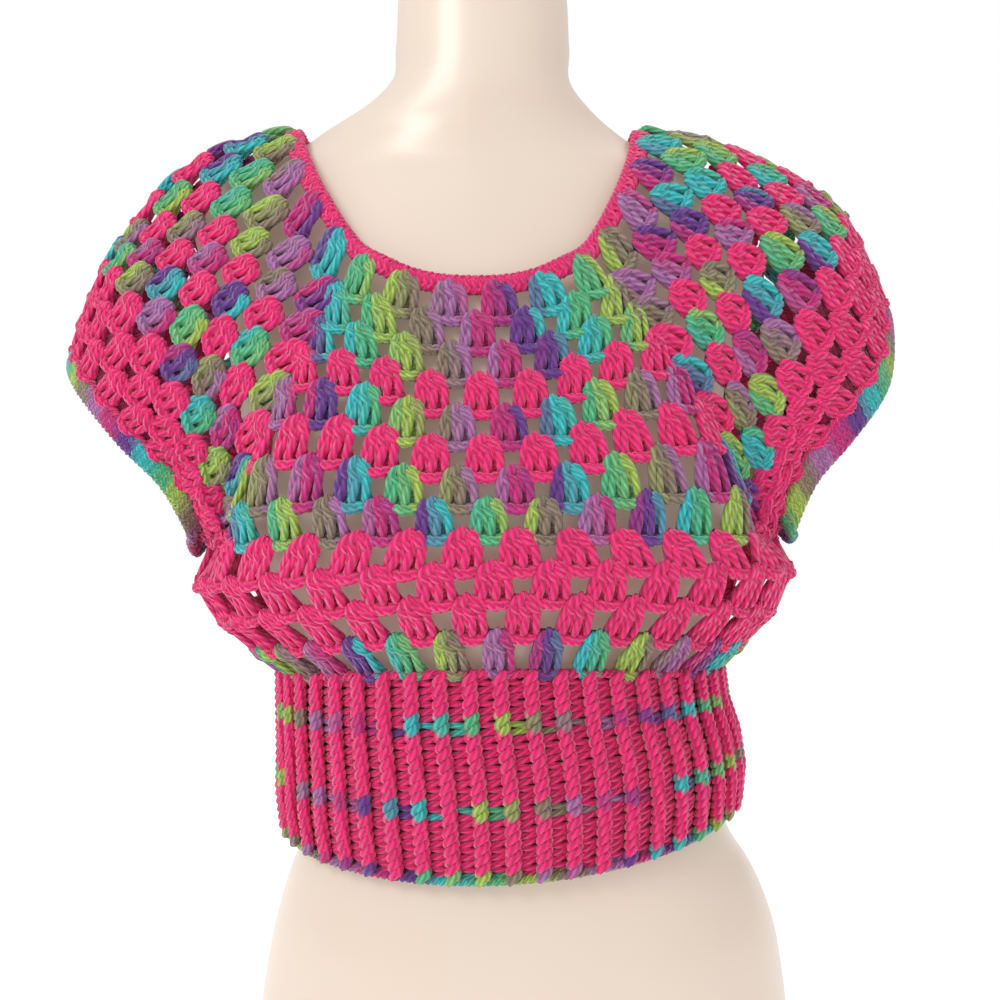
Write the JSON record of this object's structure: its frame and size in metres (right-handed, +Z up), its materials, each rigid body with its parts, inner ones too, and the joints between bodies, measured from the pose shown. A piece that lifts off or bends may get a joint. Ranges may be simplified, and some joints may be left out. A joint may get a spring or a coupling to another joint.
{
  "type": "crochet top on a dress form",
  "caption": "Cropped short-sleeved crochet top in open granny rows of pink and variegated yarn, with a ribbed waistband, worn by a smooth limbless dress form.",
  "frame": {"origin": "centre of the part's outline at the level of the form's flat base", "axes": "+Z up, -Y out of the chest, +X towards the wearer's left"},
  "size_m": [0.4708, 0.225, 0.652],
  "materials": {
    "front": "matt crocheted yarn",
    "back": "matt crocheted yarn",
    "sleeve_left": "matt crocheted yarn",
    "sleeve_right": "matt crocheted yarn",
    "sleeve_edge_left": "matt crocheted yarn",
    "sleeve_edge_right": "matt crocheted yarn",
    "neckband": "matt crocheted yarn",
    "waistband": "matt crocheted yarn",
    "dress_form": "smooth satin plastic"
  },
  "bodies": {
    "root": {"front": "front", "back": "back", "sleeve_left": "sleeve_left", "sleeve_right": "sleeve_right", "sleeve_edge_left": "sleeve_edge_left", "sleeve_edge_right": "sleeve_edge_right", "neckband": "neckband", "waistband": "waistband", "dress_form": "dress_form"}
  },
  "joints": []
}
